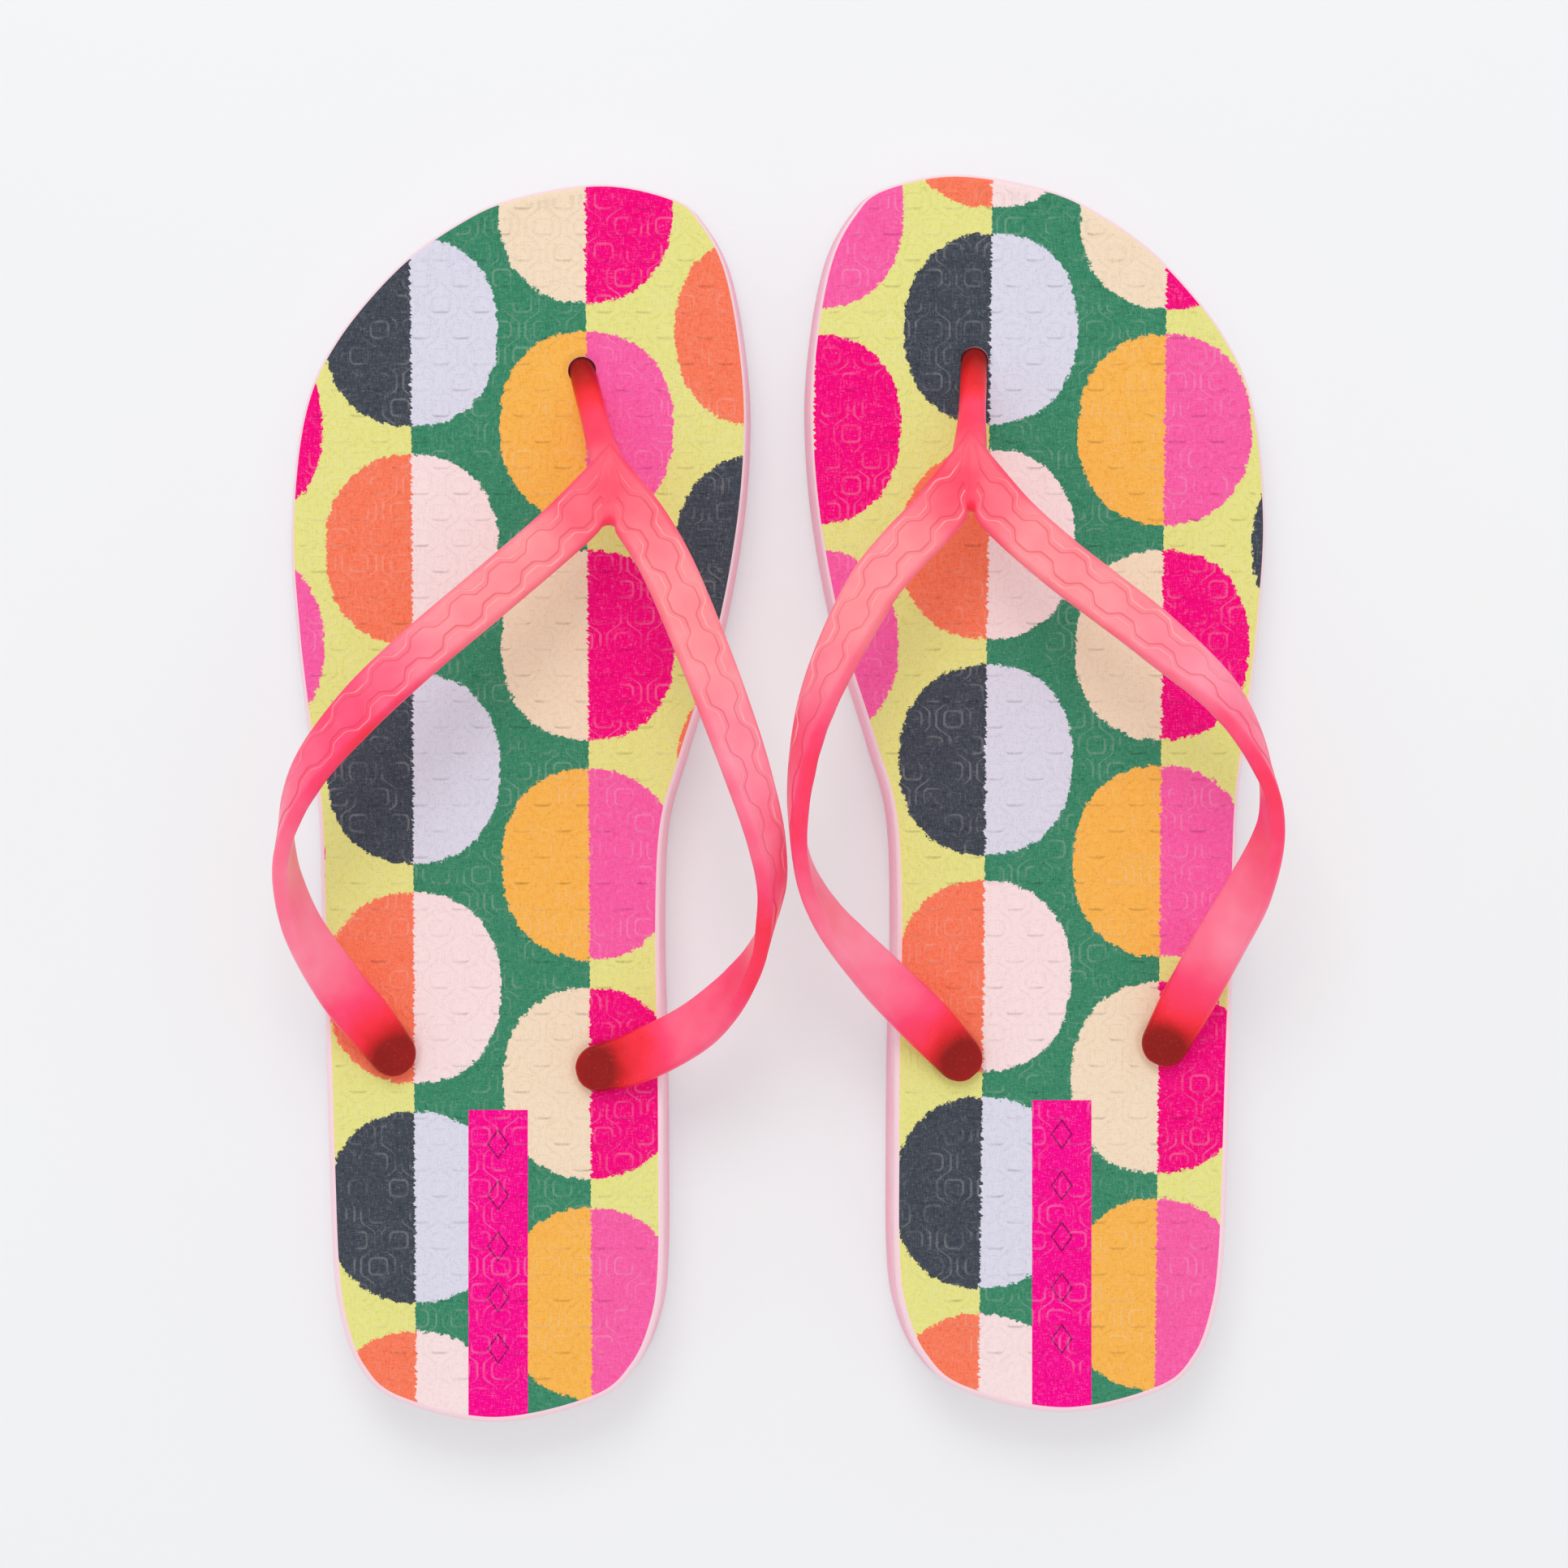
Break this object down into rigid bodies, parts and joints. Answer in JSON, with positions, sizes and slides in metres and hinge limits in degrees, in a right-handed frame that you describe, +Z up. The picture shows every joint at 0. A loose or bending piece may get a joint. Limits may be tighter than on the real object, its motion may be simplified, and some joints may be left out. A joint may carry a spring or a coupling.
{
  "type": "pair of flip-flops",
  "caption": "Pair of flip-flop sandals: foam soles with a printed, embossed footbed and a translucent moulded thong strap plugged through each sole.",
  "frame": {"origin": "on the ground, in the middle of the pair's bounding box", "axes": "+Z up, +Y to the toes, +X from the left sandal to the right one"},
  "size_m": [0.2036, 0.259, 0.0483],
  "materials": {
    "pink_foam": "matt closed-cell foam",
    "printed_sheet": "matt embossed sheet with a printed pattern of two-coloured discs",
    "coral_strap": "soft translucent PVC, satin with low raised lines"
  },
  "bodies": {
    "left_sandal": {"left_sole": "pink_foam", "left_footbed": "printed_sheet", "left_strap": "coral_strap"},
    "right_sandal": {"right_sole": "pink_foam", "right_footbed": "printed_sheet", "right_strap": "coral_strap"}
  },
  "joints": [
    {"name": "sandals_apart", "type": "slide", "parent": "left_sandal", "child": "right_sandal", "axis": [1, 0, 0], "range_m": [0, 0.15]}
  ]
}
